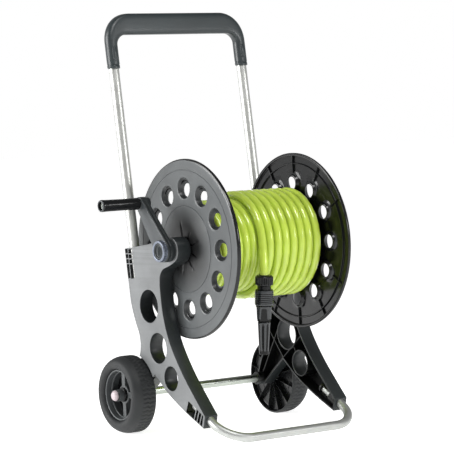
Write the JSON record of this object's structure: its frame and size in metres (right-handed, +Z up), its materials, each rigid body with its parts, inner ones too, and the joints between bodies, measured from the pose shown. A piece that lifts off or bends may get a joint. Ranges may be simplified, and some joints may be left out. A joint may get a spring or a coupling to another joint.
{
  "type": "garden hose reel cart",
  "caption": "Two-wheeled garden hose cart with a crank-turned reel between moulded side frames, a tubular push handle, a foot tube and a wound hose with a coupling and spray nozzle.",
  "frame": {"origin": "middle of the cart's footprint, on the ground", "axes": "+X runs along the reel axis from the crank side to the water-inlet side, +Y runs to the rear where the wheels and the handle are, +Z is up"},
  "size_m": [0.549, 0.4438, 0.906],
  "materials": {
    "frame_plastic": "satin moulded anthracite plastic",
    "reel_plastic": "satin moulded anthracite plastic",
    "black_plastic": "semi-gloss black moulded plastic",
    "grip_plastic": "soft satin blue-grey plastic",
    "aluminium": "bright drawn tube",
    "chrome": "polished plating",
    "wheel_plastic": "satin dark grey moulded plastic",
    "tyre": "dark grey tread with fine cross grooves",
    "cap_plastic": "glossy off-white push-on cap",
    "seal_rubber": "black rubber ring",
    "hose": "satin lime-green flexible hose skin"
  },
  "bodies": {
    "cart": {"left_side_frame": "frame_plastic", "right_side_frame": "frame_plastic", "left_handle_tube": "aluminium", "right_handle_tube": "aluminium", "left_handle_screw": "chrome", "right_handle_screw": "chrome", "handle_grip": "grip_plastic", "foot_tube": "aluminium", "axle_tube": "chrome", "left_wheel_washer": "black_plastic", "right_wheel_washer": "black_plastic", "left_axle_cap": "cap_plastic", "right_axle_cap": "cap_plastic"},
    "reel": {"left_flange": "reel_plastic", "right_flange": "reel_plastic", "left_hub_screw_1": "chrome", "left_hub_screw_2": "chrome", "left_hub_screw_3": "chrome", "right_hub_screw_1": "chrome", "right_hub_screw_2": "chrome", "right_hub_screw_3": "chrome", "drum_core": "black_plastic", "drum_sleeve": "black_plastic", "crank_spindle": "black_plastic", "water_spindle": "black_plastic", "outlet_elbow": "black_plastic", "seal_ring": "seal_rubber", "crank_arm": "reel_plastic", "crank_ring": "chrome", "crank_cap": "grip_plastic", "crank_pin": "chrome", "crank_pin_screw": "chrome", "hose_winding": "hose", "hose_tail": "hose", "hose_nut": "black_plastic", "connector_body": "black_plastic", "nozzle_stem": "black_plastic"},
    "crank_grip_body": {"crank_grip": "black_plastic"},
    "left_wheel": {"left_wheel_hub": "wheel_plastic", "left_tyre": "tyre"},
    "right_wheel": {"right_wheel_hub": "wheel_plastic", "right_tyre": "tyre"},
    "inlet": {"inlet_swivel": "black_plastic"},
    "collar": {"connector_collar": "black_plastic"},
    "barrel": {"nozzle_barrel": "black_plastic"}
  },
  "joints": [
    {"name": "reel_turn", "type": "hinge", "parent": "cart", "child": "reel", "pos_m": [0.0335, -0.0319, 0.3966], "axis": [1, 0, 0], "continuous": true},
    {"name": "crank_grip_spin", "type": "hinge", "parent": "reel", "child": "crank_grip_body", "pos_m": [-0.2265, 0.0401, 0.496], "axis": [1, 0, 0], "continuous": true},
    {"name": "left_wheel_spin", "type": "hinge", "parent": "cart", "child": "left_wheel", "pos_m": [-0.1705, 0.1384, 0.0835], "axis": [1, 0, 0], "continuous": true},
    {"name": "right_wheel_spin", "type": "hinge", "parent": "cart", "child": "right_wheel", "pos_m": [0.2375, 0.1384, 0.0835], "axis": [1, 0, 0], "continuous": true},
    {"name": "inlet_turn", "type": "hinge", "parent": "cart", "child": "inlet", "pos_m": [0.2325, -0.0319, 0.3966], "axis": [1, 0, 0], "continuous": true},
    {"name": "collar_slide", "type": "slide", "parent": "reel", "child": "collar", "axis": [0, -0.0797, 0.9968], "range_m": [0, 0.005], "stiffness_N_per_m": 400, "springref_m": -0.003},
    {"name": "nozzle_twist", "type": "hinge", "parent": "reel", "child": "barrel", "pos_m": [-0.0015, -0.1539, 0.338], "axis": [0, 0.0797, -0.9968], "range_deg": [0, 270]}
  ]
}
